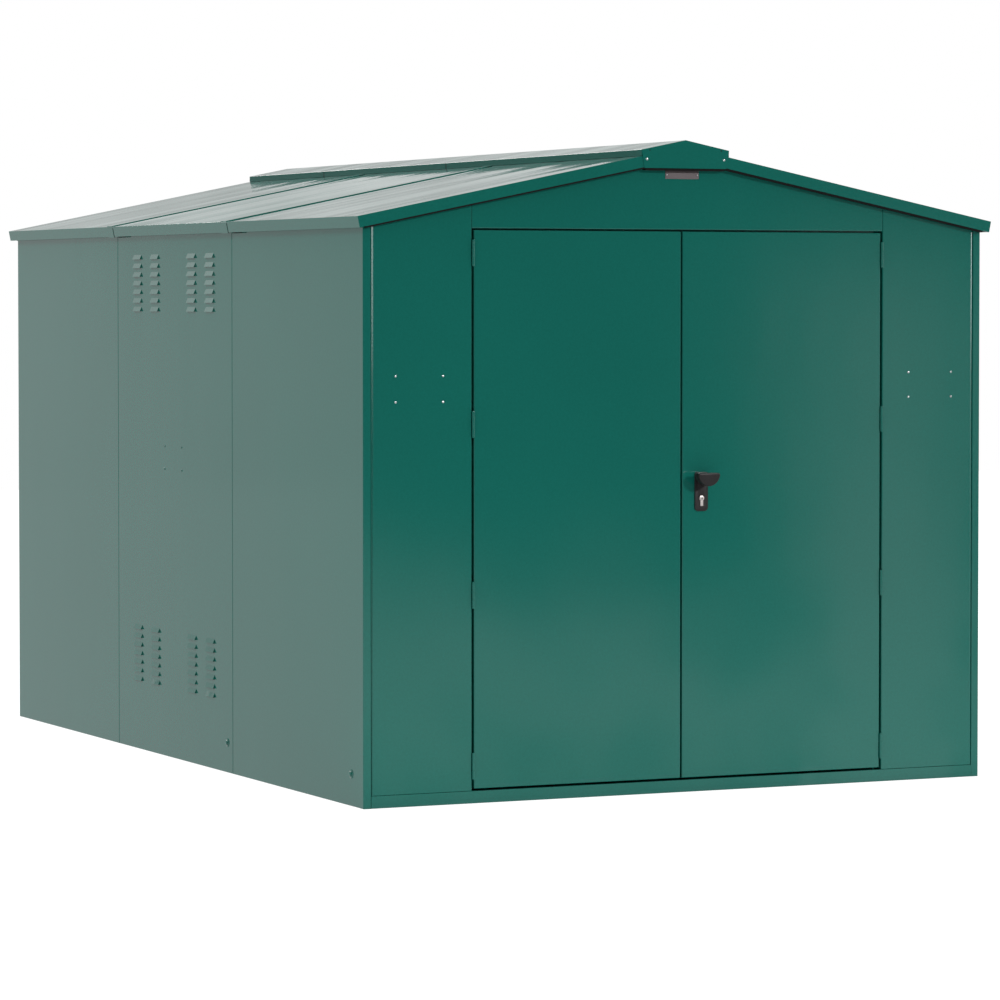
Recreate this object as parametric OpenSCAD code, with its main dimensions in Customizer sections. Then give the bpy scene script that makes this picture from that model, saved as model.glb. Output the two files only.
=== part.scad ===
// Metal storage shed: folded sheet-steel panels bolted edge to edge over a
// folded floor, with a low ridged roof and a pair of outward-opening doors.
// The origin is on the ground under the middle of the floor, +Y runs from the
// front wall to the rear wall, and +Z is up.

/* [Building] */
// Width across the outer faces of the side walls
shed_w = 2200; // [1800:10:2700]
// Length of one side-wall bay, seam to seam; three bays make the depth
bay_l = 1094; // [800:1:1400]
// Height of a side wall at its outer face
eave_h = 1827; // [1500:1:2300]
// Slope of the roof, in degrees
roof_pitch = 11.4; // [7:0.1:18]

/* [Sheet and folds] */
// Thickness of the folded sheet
sheet = 1.5; // [1:0.1:2]
// Depth of the folded flanges along the edges of the wall panels
flange = 28; // [20:1:40]
// Gap between two panels along a seam
seam = 0.6; // [0.4:0.1:0.9]
// Gap between pieces that bear on each other
seat = 0.3; // [0.1:0.1:0.5]

/* [Corners] */
// Width of a side panel's return that shows on the front and rear walls
corner_w = 26.4; // [15:0.2:40]
// Depth of the fold behind that return
corner_fold = 20; // [12:1:26]
// Width of the slope folded along the edge of the panel next to that return
edge_slope_w = 7; // [5:0.5:12]
// How far that slope runs back
edge_slope_d = 3; // [2:0.5:6]

/* [Floor and base] */
// Height of the base rails under the front and rear walls
base_h = 38.5; // [30:0.5:60]
// Height of the floor's top face
floor_h = 38; // [30:0.5:60]
// Width of the stiffener under the middle of each floor tray
joist_w = 50; // [30:1:100]

/* [Doorway] */
// Width of the doorway between the front panels
doorway_w = 1466; // [1200:2:1600]
// Height of the doorway's top edge above the ground
doorway_h = 1789; // [1400:1:1800]
// Gap beside each leaf on its hinge side
hinge_gap = 8; // [7:0.5:12]
// Gap above the leaves
head_gap = 5.5; // [5:0.5:12]
// Gap between the base rail and the leaves
sill_gap = 7.5; // [5:0.5:15]
// Gap between the two leaves
meeting_gap = 6; // [5.5:0.5:10]
// Depth of a door leaf
leaf_t = 25; // [20:1:35]
// Gap between the back of a leaf and the door frame behind it
stop_gap = 5; // [5:0.5:10]
// Width of the folded lip around the back of a leaf
leaf_lip = 14; // [8:1:25]
// Width of a door post and height of the head rail, seen from the front
post_w = 40; // [30:1:60]
// How far a post stands into the doorway, behind the leaf
post_lap = 15; // [10:1:20]
// Depth of the posts and the head rail
post_d = 30; // [20:1:50]

/* [Hinges] */
// Height of one hinge
hinge_h = 79; // [60:1:110]
// Radius of a hinge barrel
barrel_r = 4.5; // [3.5:0.1:5]
// Radius of the hinge pins
pin_r = 2.2; // [1.5:0.1:2.6]
// Running gap around the pins
pin_gap = 0.05; // [0.02:0.01:0.1]
// How far the pin's axis stands in front of the wall's face
pin_proud = 3.5; // [3:0.1:5]
// Distance from a leaf's end to the middle of its end hinges
hinge_inset = 71; // [50:1:200]
// Width of the tabs that hold the barrels
tab_w = 20; // [12:1:24]

/* [Lock] */
// Distance from the meeting edge of the right leaf to the middle of the lock plate
lock_in = 66.5; // [50:1:120]
// Height of the lock plate's middle above the ground
lock_z = 957; // [800:0.5:1100]
// Width of the lock plate
plate_w = 47; // [40:1:60]
// Height of the lock plate
plate_h = 124; // [100:1:180]
// Thickness of the lock plate
plate_t = 4; // [2:0.5:8]
// Height of the handle's axis above the plate's middle
spindle_up = 43; // [30:1:50]
// Depth of the keyed cylinder's middle below the plate's middle
cylinder_down = 29; // [15:1:35]
// Width of the handle
handle_w = 78; // [60:1:90]
// Height of the handle
handle_h = 42; // [30:1:60]
// Thickness of the handle
handle_t = 26; // [15:1:35]
// Distance from the wall's face to the back of the handle
handle_off = 34; // [20:1:60]
// Radius of the handle's stem
stem_r = 9; // [7:0.5:10]

/* [Roof] */
// Overhang of the roof's upper edge past the side walls
eave_over = 27.5; // [20:0.5:80]
// Overhang of the roof past the front and rear walls
verge_over = 24; // [12:1:80]
// Depth of the roof's folded edges
roof_edge = 36; // [25:1:60]
// Width of the lip that is turned in under an eave
eave_lip = 9; // [4:1:14]
// Distance of each roof seam ahead of the wall seam below it
roof_lead = 20; // [0:1:60]
// Distance that a roof seam's flange stops short of the eave and the beam
seam_flange_gap = 4; // [2:0.5:8]
// Distance from the ridge line to the roof panels' upper ends
ridge_stop = 32; // [10:1:60]
// Height of the fold along the roof panels' upper ends
ridge_upstand = 14; // [5:1:16]
// Half the width of the ridge beam
beam_half = 25; // [15:1:30]
// Depth of the ridge beam at its sides
beam_d = 60; // [40:1:120]

/* [Ridge cap] */
// Half the width of the ridge cap
cap_half = 155.5; // [100:0.5:220]
// Height of the cap's folded sides
cap_lift = 21; // [18:1:40]
// Distance from the cap's front end to its first seam
cap_first = 1496; // [900:1:1700]
// Distance from the first seam of the cap to the second
cap_second = 1095; // [700:1:1300]
// Distance that an end plate hangs below the cap's folded corner
plate_drop = 58; // [45:1:90]
// How far an end plate narrows at each side of its lower edge
plate_taper = 10; // [0:1:20]

/* [Vents] */
// Length of a louvre
louvre_l = 76; // [60:1:120]
// Height of a louvre's hood
louvre_h = 16; // [12:1:22]
// How far a hood stands out
louvre_d = 7; // [6:0.5:12]
// Height of the slot behind a hood
slot_h = 9; // [6:0.5:10]
// Vertical distance from one louvre to the next
louvre_pitch = 30; // [26:1:40]
// Distance from the bay's middle to the nearer column of louvres
vent_near = 175.5; // [120:0.5:220]
// Distance from the bay's middle to the farther column
vent_far = 345.5; // [290:0.5:380]
// Height of the lowest louvre of the lower group
vent_low = 240; // [100:1:400]
// Distance from the eave down to the highest louvre of the upper group
vent_top_drop = 120; // [90:1:300]

/* [Nameplate] */
// Width of the blank nameplate
name_w = 119; // [60:1:200]
// Height of the nameplate
name_h = 26; // [15:1:40]
// Distance from the end plate down to the nameplate
name_drop = 7; // [3:1:20]

/* [Hidden] */

green = "#17604f";
roof_green = "#2a6a5c";
steel = "#9aa09f";
black = "#17191a";

bays = 3;
louvre_rows = 7;
hinges = 4;
through = 1;                              // overrun of a cut past its faces
shed_d = bays * bay_l;
half_w = shed_w / 2;
front_y = -shed_d / 2;
slope_sheet = sheet / cos(roof_pitch);    // upright thickness of sloping sheet
slope_seat = seat / cos(roof_pitch);

// Wall panels beside the corners
panel_edge = half_w - corner_w - seam;
doorway_half = doorway_w / 2;
panel_foot = base_h + seam;
rear_seam_x = panel_edge / 3;

// Doors and the frame behind them
rebate = leaf_t + stop_gap;
leaf_out = doorway_half - hinge_gap;
leaf_in = meeting_gap / 2;
leaf_z0 = base_h + sill_gap;
leaf_z1 = doorway_h - head_gap;
pin_x = doorway_half - hinge_gap / 2;
pin_y = front_y - pin_proud;
knuckle_h = (hinge_h - 2 * seat) / 3;
post_in = doorway_half - post_lap;
rail_z = doorway_h - post_lap;

// Lock
lock_x = leaf_in + lock_in;
spindle_z = lock_z + spindle_up;
cylinder_z = lock_z - cylinder_down;
case_y1 = front_y + leaf_t - sheet - 2 * seat;
case_half_h = 80;
case_back = 30;                           // case beyond the spindle, from the edge
spindle_r = 4;
plate_corner = 12;                        // rounding of the plate's lower corners
plate_top_corner = 6;                     // and of its upper corners
euro_r = 8.5;                             // keyed cylinder: round part
euro_w = 10;                              // and the lug below it
euro_h = 33;
cylinder_proud = 3;
keyway_w = 2.5;
keyway_h = 10;
keyway_d = 4;

// Roof and ridge cap
roof_over = half_w + eave_over;
roof_len = (roof_over - ridge_stop) / cos(roof_pitch);
verge_y = front_y - verge_over;
roof_y1 = front_y + bay_l - roof_lead;
roof_y2 = roof_y1 + bay_l;
cap_corner_z = roof_top(cap_half) + cap_lift;
cap_foot_z = roof_top(cap_half - sheet) + slope_seat;
cap_y1 = verge_y + cap_first;
cap_y2 = cap_y1 + cap_second;
end_plate_z = cap_corner_z - plate_drop;
beam_z = wall_top(beam_half) - beam_d;

// Heights of the wall tops and of the roof sheet's two faces at a distance
// x from the ridge line
function wall_top(x) = eave_h + (half_w - abs(x)) * tan(roof_pitch);
function roof_under(x) = wall_top(x) + slope_seat;
function roof_top(x) = roof_under(x) + slope_sheet;
function cap_top(x) = cap_corner_z + (cap_half - abs(x)) * tan(roof_pitch);

// An outline in x and z, run from y0 to y1
module along_y(y0, y1) {
    translate([0, y1, 0]) rotate([90, 0, 0]) linear_extrude(y1 - y0) children();
}

// An outline in y and z, run from x0 to x1
module along_x(x0, x1) {
    translate([x0, 0, 0]) rotate([90, 0, 90]) linear_extrude(x1 - x0) children();
}

// A rectangle and a box given by two opposite corners
module rect(a, b) {
    translate(a) square(b - a);
}
module block(a, b) {
    translate(a) cube(b - a);
}

// The space under the roof's slopes, which trims whatever reaches up to them
module under_slopes() {
    w = half_w + through;
    along_y(front_y - through, -front_y + through)
        polygon([[-w, -through], [w, -through], [w, wall_top(w)], [0, wall_top(0)], [-w, wall_top(w)]]);
}

// A flange that follows the left slope under the roof, between two x places
module slope_flange(x0, x1, y0, y1) {
    along_y(y0, y1)
        polygon([[x0, wall_top(x0) - slope_sheet], [x1, wall_top(x1) - slope_sheet],
                 [x1, wall_top(x1)], [x0, wall_top(x0)]]);
}

module to_right() {
    mirror([1, 0, 0]) children();
}
module to_rear() {
    mirror([0, 1, 0]) children();
}

// ---- Base and floor ----

// Channel under the front wall, open to the inside
module base_rail() {
    color(green)
        along_x(-panel_edge, panel_edge) {
            rect([front_y, 0], [front_y + sheet, base_h]);
            rect([front_y, 0], [front_y + flange, sheet]);
            rect([front_y, base_h - sheet], [front_y + flange, base_h]);
        }
}

// Floor tray: a deck with folded edges down to the ground and a stiffener
// across its middle
module floor_tray(y0, y1) {
    x = half_w - flange - seat;
    mid = (y0 + y1) / 2;
    color(steel) {
        block([-x, y0, floor_h - sheet], [x, y1, floor_h]);
        block([-x, y0, 0], [x, y0 + sheet, floor_h]);
        block([-x, y1 - sheet, 0], [x, y1, floor_h]);
        block([-x, y0, 0], [-x + sheet, y1, floor_h]);
        block([x - sheet, y0, 0], [x, y1, floor_h]);
        along_x(-x, x) {
            rect([mid - joist_w / 2, 0], [mid + joist_w / 2, sheet]);
            rect([mid - joist_w / 2, 0], [mid - joist_w / 2 + sheet, floor_h]);
            rect([mid + joist_w / 2 - sheet, 0], [mid + joist_w / 2, floor_h]);
        }
    }
}

module base_front() { base_rail(); }
module base_rear() { to_rear() base_rail(); }
module floor_front() { floor_tray(front_y + flange + seat, front_y + bay_l - seam / 2); }
module floor_middle() { floor_tray(front_y + bay_l + seam / 2, front_y + 2 * bay_l - seam / 2); }
module floor_rear() { to_rear() floor_front(); }

// ---- Side walls ----

// Outline of a flange across the end of a left side panel
module side_end() {
    polygon([[-half_w, 0], [flange - half_w, 0],
             [flange - half_w, wall_top(half_w - flange)], [-half_w, eave_h]]);
}

// Left side panel: a tall tray whose lower and upper edges are folded
// inwards from notch onwards
module side_tray(y0, y1, notch) {
    along_y(y0, y1)
        polygon([[-half_w, 0], [sheet - half_w, 0],
                 [sheet - half_w, wall_top(half_w - sheet)], [-half_w, eave_h]]);
    block([-half_w, notch, 0], [flange - half_w, y1, sheet]);
    slope_flange(-half_w, flange - half_w, notch, y1);
}

// The panel beside the front corner, folded twice round it; its inward
// folds stop short of the base rail and the front wall
module side_corner_bay() {
    y1 = front_y + bay_l - seam / 2;
    side_tray(front_y, y1, front_y + flange + seat);
    along_y(y1 - sheet, y1) side_end();
    intersection() {
        under_slopes();
        linear_extrude(roof_top(0)) {
            rect([-half_w, front_y], [corner_w - half_w, front_y + sheet]);
            rect([corner_w - half_w - sheet, front_y], [corner_w - half_w, front_y + corner_fold]);
        }
    }
}

// The hood of a louvre, and the space that is cut away behind it, both in
// distance out from the wall and height, at the louvre's lower edge
module hood_outline() {
    polygon([[0, 0], [louvre_d, 0], [0, louvre_h]]);
}
module hood_cut_outline() {
    rise = louvre_h / louvre_d;
    inner_h = louvre_h - sheet * sqrt(1 + rise * rise);
    polygon([[-sheet - through, 0], [-sheet - through, slot_h],
             [(inner_h - slot_h) / rise, slot_h], [(inner_h + through) / rise, -through],
             [seat, -through], [seat, 0]]);
}

// Places every louvre of the middle bay
module each_louvre() {
    for (side = [-1, 1])
        for (off = [vent_near, vent_far])
            for (row = [0 : louvre_rows - 1])
                for (z = [vent_low, eave_h - vent_top_drop - (louvre_rows - 1) * louvre_pitch])
                    translate([-half_w, side * off, z + row * louvre_pitch]) children();
}

// An outline in distance out from the wall and height, run along the wall
module along_wall(length) {
    translate([0, length / 2, 0]) rotate([90, 0, 0]) linear_extrude(length) mirror([1, 0]) children();
}

// The middle panel, pierced and pressed out into two groups of louvres
module side_vent_bay() {
    y1 = bay_l / 2 - seam / 2;
    difference() {
        union() {
            side_tray(-y1, y1, -y1);
            along_y(y1 - sheet, y1) side_end();
            along_y(-y1, sheet - y1) side_end();
            each_louvre() along_wall(louvre_l) hood_outline();
        }
        each_louvre() along_wall(louvre_l - 2 * sheet) hood_cut_outline();
    }
}

module side_left_front() { color(green) side_corner_bay(); }
module side_left_middle() { color(green) side_vent_bay(); }
module side_left_rear() { to_rear() side_left_front(); }
module side_right_front() { to_right() side_left_front(); }
module side_right_middle() { to_right() side_left_middle(); }
module side_right_rear() { to_right() side_left_rear(); }

// ---- Front and rear walls ----

// Panel from a corner's seam to the edge at x1, with a narrow slope along its
// corner edge; back is the depth of its other edge
module corner_panel(x1, back) {
    x0 = -panel_edge;
    flat = x0 + edge_slope_w;
    slope_l = sqrt(edge_slope_w * edge_slope_w + edge_slope_d * edge_slope_d);
    inner_x = flat + sheet * (slope_l - edge_slope_w) / edge_slope_d;
    inner_y = edge_slope_d + sheet * (slope_l - edge_slope_d) / edge_slope_w;
    color(green) {
        intersection() {
            under_slopes();
            translate([0, 0, panel_foot]) linear_extrude(roof_top(0)) translate([0, front_y]) {
                polygon([[x0, corner_fold], [x0, edge_slope_d], [flat, 0], [x1, 0], [x1, sheet],
                         [inner_x, sheet], [x0 + sheet, inner_y], [x0 + sheet, corner_fold]]);
                rect([x1 - sheet, 0], [x1, back]);
            }
        }
        block([flat + sheet, front_y, panel_foot], [x1, front_y + corner_fold, panel_foot + sheet]);
        slope_flange(flat + sheet, x1, front_y, front_y + corner_fold);
    }
}

// Panel across the middle of an end wall, up to the ridge
module gable_panel(half, z0, back) {
    color(green) {
        intersection() {
            under_slopes();
            union() {
                block([-half, front_y, z0], [half, front_y + sheet, roof_top(0)]);
                block([-half, front_y, z0], [sheet - half, front_y + back, roof_top(0)]);
                block([half - sheet, front_y, z0], [half, front_y + back, roof_top(0)]);
            }
        }
        block([-half, front_y, z0], [half, front_y + back, z0 + sheet]);
        slope_flange(-half, -beam_half - seat, front_y, front_y + corner_fold);
        to_right() slope_flange(-half, -beam_half - seat, front_y, front_y + corner_fold);
    }
}

module front_panel_left() { corner_panel(-doorway_half, rebate - seat); }
module front_panel_right() { to_right() front_panel_left(); }
module front_header() { gable_panel(doorway_half - seat, doorway_h, rebate - seat); }
module rear_panel_left() { to_rear() corner_panel(-rear_seam_x - seam / 2, flange); }
module rear_panel_right() { to_right() rear_panel_left(); }
module rear_panel_centre() { to_rear() gable_panel(rear_seam_x - seam / 2, panel_foot, flange); }

// Post behind the edge of the doorway, a channel open to the back
module door_post() {
    y0 = front_y + rebate;
    x1 = -post_in;
    color(green)
        translate([0, 0, floor_h + seat]) linear_extrude(rail_z - floor_h - 2 * seat) {
            rect([x1 - post_w, y0], [x1, y0 + sheet]);
            rect([x1 - post_w, y0], [x1 - post_w + sheet, y0 + post_d]);
            rect([x1 - sheet, y0], [x1, y0 + post_d]);
        }
}

module door_post_left() { door_post(); }
module door_post_right() { to_right() door_post(); }

// Rail across the tops of both posts, behind the header
module door_head_rail() {
    y0 = front_y + rebate;
    x = post_in + post_w;
    color(green)
        along_x(-x, x) {
            rect([y0, rail_z], [y0 + sheet, rail_z + post_w]);
            rect([y0, rail_z], [y0 + post_d, rail_z + sheet]);
            rect([y0, rail_z + post_w - sheet], [y0 + post_d, rail_z + post_w]);
        }
}

// ---- Roof ----

// Places an outline on the left slope: x up the slope from the eave's upper
// corner, y square to it, with the sheet's top face at 0
module on_slope(y0, y1) {
    along_y(y0, y1)
        translate([-roof_over, roof_top(roof_over)]) rotate(roof_pitch) children();
}

// Folded edge across the slope, clear of the wall top and the ridge beam
module roof_seam_flange(y0, y1) {
    start = (eave_over + flange + seam_flange_gap) / cos(roof_pitch);
    end = (roof_over - beam_half - seam_flange_gap) / cos(roof_pitch);
    on_slope(y0, y1) rect([start, -flange], [min(end, roof_len), 0]);
}

// One bay of the left slope; the first and last bays also have a verge edge
module roof_bay(y0, y1) {
    on_slope(y0, y1) {
        rect([0, -sheet], [roof_len, 0]);
        rect([0, -roof_edge], [sheet, 0]);
        rect([0, -roof_edge], [eave_lip, sheet - roof_edge]);
        rect([roof_len - sheet, -sheet], [roof_len, ridge_upstand]);
    }
}
module roof_verge(y0, y1) {
    on_slope(y0, y1) rect([0, -roof_edge], [roof_len, 0]);
}

module roof_left_front() {
    y1 = roof_y1 - seam / 2;
    color(roof_green) {
        roof_bay(verge_y, y1);
        roof_verge(verge_y, verge_y + sheet);
        roof_seam_flange(y1 - sheet, y1);
    }
}
module roof_left_middle() {
    y0 = roof_y1 + seam / 2;
    y1 = roof_y2 - seam / 2;
    color(roof_green) {
        roof_bay(y0, y1);
        roof_seam_flange(y0, y0 + sheet);
        roof_seam_flange(y1 - sheet, y1);
    }
}
module roof_left_rear() {
    y0 = roof_y2 + seam / 2;
    color(roof_green) {
        roof_bay(y0, -verge_y);
        roof_verge(-verge_y - sheet, -verge_y);
        roof_seam_flange(y0, y0 + sheet);
    }
}
module roof_right_front() { to_right() roof_left_front(); }
module roof_right_middle() { to_right() roof_left_middle(); }
module roof_right_rear() { to_right() roof_left_rear(); }

// Hollow beam along the ridge, held between the two gable panels
module ridge_beam() {
    y = -front_y - sheet - seat;
    inner = beam_half - sheet;
    color(steel)
        along_y(-y, y)
            difference() {
                polygon([[-beam_half, beam_z], [beam_half, beam_z], [beam_half, wall_top(beam_half)],
                         [0, wall_top(0)], [-beam_half, wall_top(beam_half)]]);
                polygon([[-inner, beam_z + sheet], [inner, beam_z + sheet],
                         [inner, wall_top(inner) - slope_sheet], [0, wall_top(0) - slope_sheet],
                         [-inner, wall_top(inner) - slope_sheet]]);
            }
}

// A length of the ridge cap: two slopes and two folded sides
module ridge_cap(y0, y1) {
    inner = cap_half - sheet;
    color(roof_green)
        along_y(y0, y1)
            polygon([[-cap_half, cap_foot_z], [-cap_half, cap_corner_z], [0, cap_top(0)],
                     [cap_half, cap_corner_z], [cap_half, cap_foot_z], [inner, cap_foot_z],
                     [inner, cap_top(inner) - slope_sheet], [0, cap_top(0) - slope_sheet],
                     [-inner, cap_top(inner) - slope_sheet], [-inner, cap_foot_z]]);
}

// Plate that closes the cap's front end and covers the meeting of the verges
module ridge_end() {
    foot = cap_half - plate_taper;
    color(roof_green)
        along_y(verge_y - seat - sheet, verge_y - seat)
            polygon([[-foot, end_plate_z], [foot, end_plate_z], [cap_half, cap_corner_z],
                     [0, cap_top(0)], [-cap_half, cap_corner_z]]);
}

module ridge_cap_front() { ridge_cap(verge_y, cap_y1 - seam / 2); }
module ridge_cap_middle() { ridge_cap(cap_y1 + seam / 2, cap_y2 - seam / 2); }
module ridge_cap_rear() { ridge_cap(cap_y2 + seam / 2, -verge_y); }
module ridge_end_front() { ridge_end(); }
module ridge_end_rear() { to_rear() ridge_end(); }

// Blank plate on the header, under the ridge
module nameplate() {
    z1 = end_plate_z - name_drop;
    color("#3c4348")
        block([-name_w / 2, front_y - sheet, z1 - name_h], [name_w / 2, front_y, z1]);
}

// ---- Doors ----

// Left leaf: a sheet folded back along all four edges, then turned in
module door_leaf() {
    back = front_y + leaf_t;
    difference() {
        block([-leaf_out, front_y, leaf_z0], [-leaf_in, back, leaf_z1]);
        block([sheet - leaf_out, front_y + sheet, leaf_z0 + sheet],
              [-leaf_in - sheet, back - sheet, leaf_z1 - sheet]);
        block([leaf_lip - leaf_out, front_y + sheet, leaf_z0 + leaf_lip],
              [-leaf_in - leaf_lip, back + through, leaf_z1 - leaf_lip]);
    }
}

// Outline of the keyed cylinder, grown by c: a round with a lug below it
module euro_outline(c) {
    translate([lock_x, cylinder_z + euro_h / 2 - euro_r]) circle(euro_r + c, $fn = 48);
    rect([lock_x - euro_w / 2 - c, cylinder_z - euro_h / 2 - c],
         [lock_x + euro_w / 2 + c, cylinder_z + euro_h / 2 - euro_r]);
}

// A round bar along y, on the handle's axis
module on_spindle(r, y0, y1) {
    translate([lock_x, y1, spindle_z]) rotate([90, 0, 0]) cylinder(r = r, h = y1 - y0, $fn = 48);
}

module door_left() { color(green) door_leaf(); }
module door_right() {
    color(green)
        difference() {
            to_right() door_leaf();
            along_y(front_y - through, front_y + sheet + through) euro_outline(seat);
            on_spindle(spindle_r + seat, front_y - through, front_y + sheet + through);
        }
}

// Height of the middle of hinge i
function hinge_z(i) =
    leaf_z0 + hinge_inset + i * (leaf_z1 - leaf_z0 - 2 * hinge_inset) / (hinges - 1);

// Barrel knuckles on the left door's axis, with the tab that carries them
module knuckle(z0, z1, tab_x) {
    translate([-pin_x, pin_y, z0]) cylinder(r = barrel_r, h = z1 - z0, $fn = 40);
    block([tab_x, pin_y, z0], [tab_x + sheet, front_y + tab_w, z1]);
}

// Frame side: two knuckles on a fixed pin, on a tab against the front panel
module hinge_frame() {
    color(green)
        for (i = [0 : hinges - 1]) {
            z0 = hinge_z(i) - hinge_h / 2;
            z1 = z0 + hinge_h;
            knuckle(z0, z0 + knuckle_h, seat - doorway_half);
            knuckle(z1 - knuckle_h, z1, seat - doorway_half);
            translate([-pin_x, pin_y, z0]) cylinder(r = pin_r, h = hinge_h, $fn = 40);
            block([seat - doorway_half, front_y + tab_w / 2, z0],
                  [seat - doorway_half + sheet, front_y + tab_w, z1]);
        }
}

// Door side: one bored knuckle between them, on a tab against the leaf's edge
module hinge_door() {
    color(green)
        for (i = [0 : hinges - 1])
            difference() {
                knuckle(hinge_z(i) - knuckle_h / 2, hinge_z(i) + knuckle_h / 2,
                        -leaf_out - seat - sheet);
                translate([-pin_x, pin_y, hinge_z(i) - knuckle_h])
                    cylinder(r = pin_r + pin_gap, h = 2 * knuckle_h, $fn = 40);
            }
}

module hinge_frame_left() { hinge_frame(); }
module hinge_door_left() { hinge_door(); }
module hinge_frame_right() { to_right() hinge_frame(); }
module hinge_door_right() { to_right() hinge_door(); }

// ---- Lock ----

// Plate on the right leaf, round at its lower corners
module lock_plate() {
    z0 = lock_z - plate_h / 2;
    x = plate_w / 2;
    color(black)
        difference() {
            along_y(front_y - seat - plate_t, front_y - seat) translate([lock_x, z0]) {
                rect([-x, plate_corner], [x, plate_h - plate_top_corner]);
                rect([plate_corner - x, 0], [x - plate_corner, plate_corner]);
                rect([plate_top_corner - x, plate_h - plate_top_corner],
                     [x - plate_top_corner, plate_h]);
                for (s = [-1, 1]) {
                    translate([s * (x - plate_corner), plate_corner])
                        circle(plate_corner, $fn = 48);
                    translate([s * (x - plate_top_corner), plate_h - plate_top_corner])
                        circle(plate_top_corner, $fn = 48);
                }
            }
            along_y(front_y - plate_t - through, front_y + through) euro_outline(seat);
            on_spindle(stem_r + pin_gap, front_y - plate_t - through, front_y + through);
        }
}

// Case behind the leaf's sheet that the cylinder and the spindle pass into
module lock_case() {
    y0 = front_y + sheet + seat;
    color(steel)
        difference() {
            block([leaf_in + sheet + seat, y0, lock_z - case_half_h],
                  [lock_x + case_back, case_y1, lock_z + case_half_h]);
            along_y(y0 - through, case_y1 + through) euro_outline(seat);
            on_spindle(spindle_r + pin_gap, y0 - through, case_y1 + through);
        }
}

// Keyed cylinder with its keyway
module lock_cylinder() {
    y0 = front_y - seat - plate_t - cylinder_proud;
    key_z = cylinder_z + euro_h / 2 - euro_r;
    color("#c9ccce")
        difference() {
            along_y(y0, case_y1) euro_outline(0);
            block([lock_x - keyway_w / 2, y0 - through, key_z - keyway_h / 2],
                  [lock_x + keyway_w / 2, y0 + keyway_d, key_z + keyway_h / 2]);
        }
}

// Handle: a thick D with its flat side up, on a stem and a spindle
module door_handle() {
    y0 = front_y - handle_off - handle_t;
    top = handle_h * 3 / 7;
    arc = [for (a = [180 : 10 : 360]) [handle_w / 2 * cos(a), top + handle_h * sin(a)]];
    color(black) {
        along_y(y0, y0 + handle_t) translate([lock_x, spindle_z]) polygon(arc);
        on_spindle(stem_r, y0 + handle_t / 2, front_y - seat);
        on_spindle(spindle_r, y0 + handle_t / 2, case_y1);
    }
}

base_front();
base_rear();
floor_front();
floor_middle();
floor_rear();
side_left_front();
side_left_middle();
side_left_rear();
side_right_front();
side_right_middle();
side_right_rear();
front_panel_left();
front_panel_right();
front_header();
rear_panel_left();
rear_panel_centre();
rear_panel_right();
door_post_left();
door_post_right();
door_head_rail();
roof_left_front();
roof_left_middle();
roof_left_rear();
roof_right_front();
roof_right_middle();
roof_right_rear();
ridge_beam();
ridge_cap_front();
ridge_cap_middle();
ridge_cap_rear();
ridge_end_front();
ridge_end_rear();
nameplate();
door_left();
door_right();
hinge_frame_left();
hinge_door_left();
hinge_frame_right();
hinge_door_right();
lock_plate();
lock_case();
lock_cylinder();
door_handle();
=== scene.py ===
import bpy
import bmesh
import math
from mathutils import Matrix, Vector


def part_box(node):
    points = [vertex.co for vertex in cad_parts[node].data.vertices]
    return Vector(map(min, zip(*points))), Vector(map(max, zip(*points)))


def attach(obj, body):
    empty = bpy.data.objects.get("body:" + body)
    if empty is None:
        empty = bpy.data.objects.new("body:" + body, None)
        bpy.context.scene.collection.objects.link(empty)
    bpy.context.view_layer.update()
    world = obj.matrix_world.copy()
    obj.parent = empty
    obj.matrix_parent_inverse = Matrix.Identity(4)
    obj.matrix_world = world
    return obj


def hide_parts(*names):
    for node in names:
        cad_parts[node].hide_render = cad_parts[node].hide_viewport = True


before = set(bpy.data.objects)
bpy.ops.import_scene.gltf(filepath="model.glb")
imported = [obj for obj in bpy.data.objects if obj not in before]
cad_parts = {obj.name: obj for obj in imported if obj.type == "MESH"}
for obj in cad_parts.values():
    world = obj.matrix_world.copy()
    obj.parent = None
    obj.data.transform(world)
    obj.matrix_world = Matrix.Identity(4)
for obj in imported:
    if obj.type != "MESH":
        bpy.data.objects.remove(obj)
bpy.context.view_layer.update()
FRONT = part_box("front_header")[0].y     # the outer face of the front wall
HALF_W = 1.1                            # from the middle to a side wall's outer face


# ---------------------------------------------------------------- floor trays
# The floor is three shallow trays of galvanised steel, laid edge to edge on
# the base. The zinc is left bare, so its frozen crystals show as a spangle.

def linear(colour):
    """An sRGB hex colour as the linear RGBA that Blender works in."""
    parts = [int(colour[i:i + 2], 16) / 255 for i in (1, 3, 5)]
    return [c / 12.92 if c <= 0.04045 else ((c + 0.055) / 1.055) ** 2.4 for c in parts] + [1.0]


def add(tree, kind, inputs=None, **settings):
    """Adds a node. The inputs are plain values, or the outputs of other nodes."""
    made = tree.nodes.new(kind)
    for name, value in settings.items():
        setattr(made, name, value)
    for name, value in (inputs or {}).items():
        if isinstance(value, bpy.types.NodeSocket):
            tree.links.new(value, made.inputs[name])
        else:
            made.inputs[name].default_value = value
    return made


def new_material(name):
    """An empty material, its node tree, and its output's surface socket left to fill."""
    material = bpy.data.materials.new(name)
    material.use_nodes = True
    material.node_tree.nodes.clear()
    return material, material.node_tree


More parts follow.
